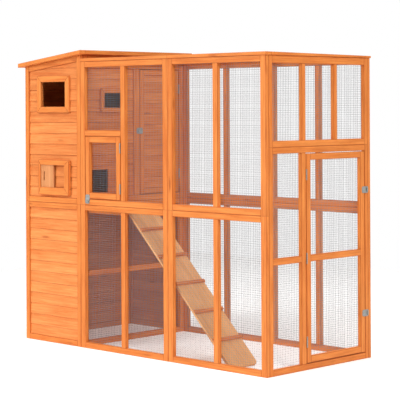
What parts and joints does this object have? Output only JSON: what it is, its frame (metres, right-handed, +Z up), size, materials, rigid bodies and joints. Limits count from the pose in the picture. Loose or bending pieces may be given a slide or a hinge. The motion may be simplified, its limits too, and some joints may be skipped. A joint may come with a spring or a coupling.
{
  "type": "cat cage",
  "caption": "Tall free-standing wooden cat cage: a two-storey clapboard cat house beside a wire-mesh run with a walk-in door, vent door, sliding hatch, resting deck and ramp",
  "frame": {"origin": "centre of the footprint box on the floor", "axes": "+X along the front from the house to the walk-in end, +Y from the front to the back, +Z up"},
  "size_m": [2.0822, 0.96, 1.7998],
  "materials": {
    "timber": "stained softwood, satin",
    "cladding": "stained softwood boards, satin",
    "plywood": "bare plywood",
    "sheet": "stained board",
    "felt": "mineral roofing felt",
    "wire": "galvanised",
    "zinc": "zinc plated"
  },
  "bodies": {
    "cage": {"back_lower_mesh": "wire", "back_mid_lower_frame": "timber", "back_mid_upper_frame": "timber", "back_right_lower_frame": "timber", "back_right_upper_frame": "timber", "back_upper_mesh": "wire", "deck_bearers": "timber", "deck_boards": "timber", "front_lower_mesh": "wire", "front_mid_lower_frame": "timber", "front_mid_upper_frame": "timber", "front_right_lower_frame": "timber", "front_right_upper_frame": "timber", "front_upper_mesh": "wire", "hatch_frame": "timber", "hatch_packing": "timber", "hinge_fixed_leaves": "zinc", "house_back_boards": "cladding", "house_back_frame": "timber", "house_end_boards": "cladding", "house_end_frame": "timber", "house_floor": "sheet", "house_floor_bearers": "timber", "house_front_lower_boards": "cladding", "house_front_lower_frame": "timber", "house_front_upper_boards": "cladding", "house_front_upper_frame": "timber", "house_roof_felt": "felt", "house_roof_frame": "timber", "house_roof_sheet": "sheet", "inner_wall_boards": "cladding", "inner_wall_lower_frame": "timber", "inner_wall_lower_mesh": "wire", "inner_wall_upper_frame": "timber", "inner_window_trim": "timber", "latch_bases": "zinc", "run_roof_frame": "timber", "run_roof_mesh": "wire", "side_lower_frame": "timber", "side_mesh": "wire", "side_upper_frame": "timber", "window_trim": "timber"},
    "side_door": {"side_door_frame": "timber", "side_door_mesh": "wire", "side_door_fittings": "zinc"},
    "vent_door": {"vent_door_frame": "timber", "vent_door_mesh": "wire", "vent_door_fittings": "zinc"},
    "inner_door": {"inner_door_frame": "timber", "inner_door_boards": "cladding", "inner_door_fittings": "zinc"},
    "hatch": {"hatch_panel": "plywood"},
    "ramp": {"ramp_plank": "timber", "ramp_cleats": "timber", "ramp_hinge_leaf": "zinc"},
    "side_latch_top": {"side_latch_top_knob": "zinc"},
    "side_latch_low": {"side_latch_low_knob": "zinc"},
    "vent_latch": {"vent_latch_knob": "zinc"},
    "inner_latch": {"inner_latch_knob": "zinc"}
  },
  "joints": [
    {"name": "side_door_hinge", "type": "hinge", "parent": "cage", "child": "side_door", "pos_m": [1.0364, -0.12, 0.616], "axis": [0, 0, -1], "range_deg": [0, 160]},
    {"name": "vent_door_hinge", "type": "hinge", "parent": "cage", "child": "vent_door", "pos_m": [-0.1206, -0.4535, 1.0905], "axis": [0, 0, 1], "range_deg": [0, 160]},
    {"name": "inner_door_hinge", "type": "hinge", "parent": "cage", "child": "inner_door", "pos_m": [-0.4736, 0.388, 1.2785], "axis": [0, 0, 1], "range_deg": [0, 90]},
    {"name": "hatch_slide", "type": "slide", "parent": "cage", "child": "hatch", "axis": [1, 0, 0], "range_m": [0, 0.112]},
    {"name": "ramp_hinge", "type": "hinge", "parent": "cage", "child": "ramp", "pos_m": [-0.1231, -0.295, 0.8655], "axis": [0, -1, 0], "range_deg": [0, 20]},
    {"name": "side_latch_top_turn", "type": "hinge", "parent": "cage", "child": "side_latch_top", "pos_m": [1.037, 0.412, 0.972], "axis": [1, 0, 0], "range_deg": [0, 90]},
    {"name": "side_latch_low_turn", "type": "hinge", "parent": "cage", "child": "side_latch_low", "pos_m": [1.037, 0.412, 0.263], "axis": [1, 0, 0], "range_deg": [0, 90]},
    {"name": "vent_latch_turn", "type": "hinge", "parent": "cage", "child": "vent_latch", "pos_m": [-0.4131, -0.4541, 0.886], "axis": [0, -1, 0], "range_deg": [0, 90]},
    {"name": "inner_latch_turn", "type": "hinge", "parent": "cage", "child": "inner_latch", "pos_m": [-0.473, 0.027, 1.304], "axis": [1, 0, 0], "range_deg": [0, 90]}
  ]
}
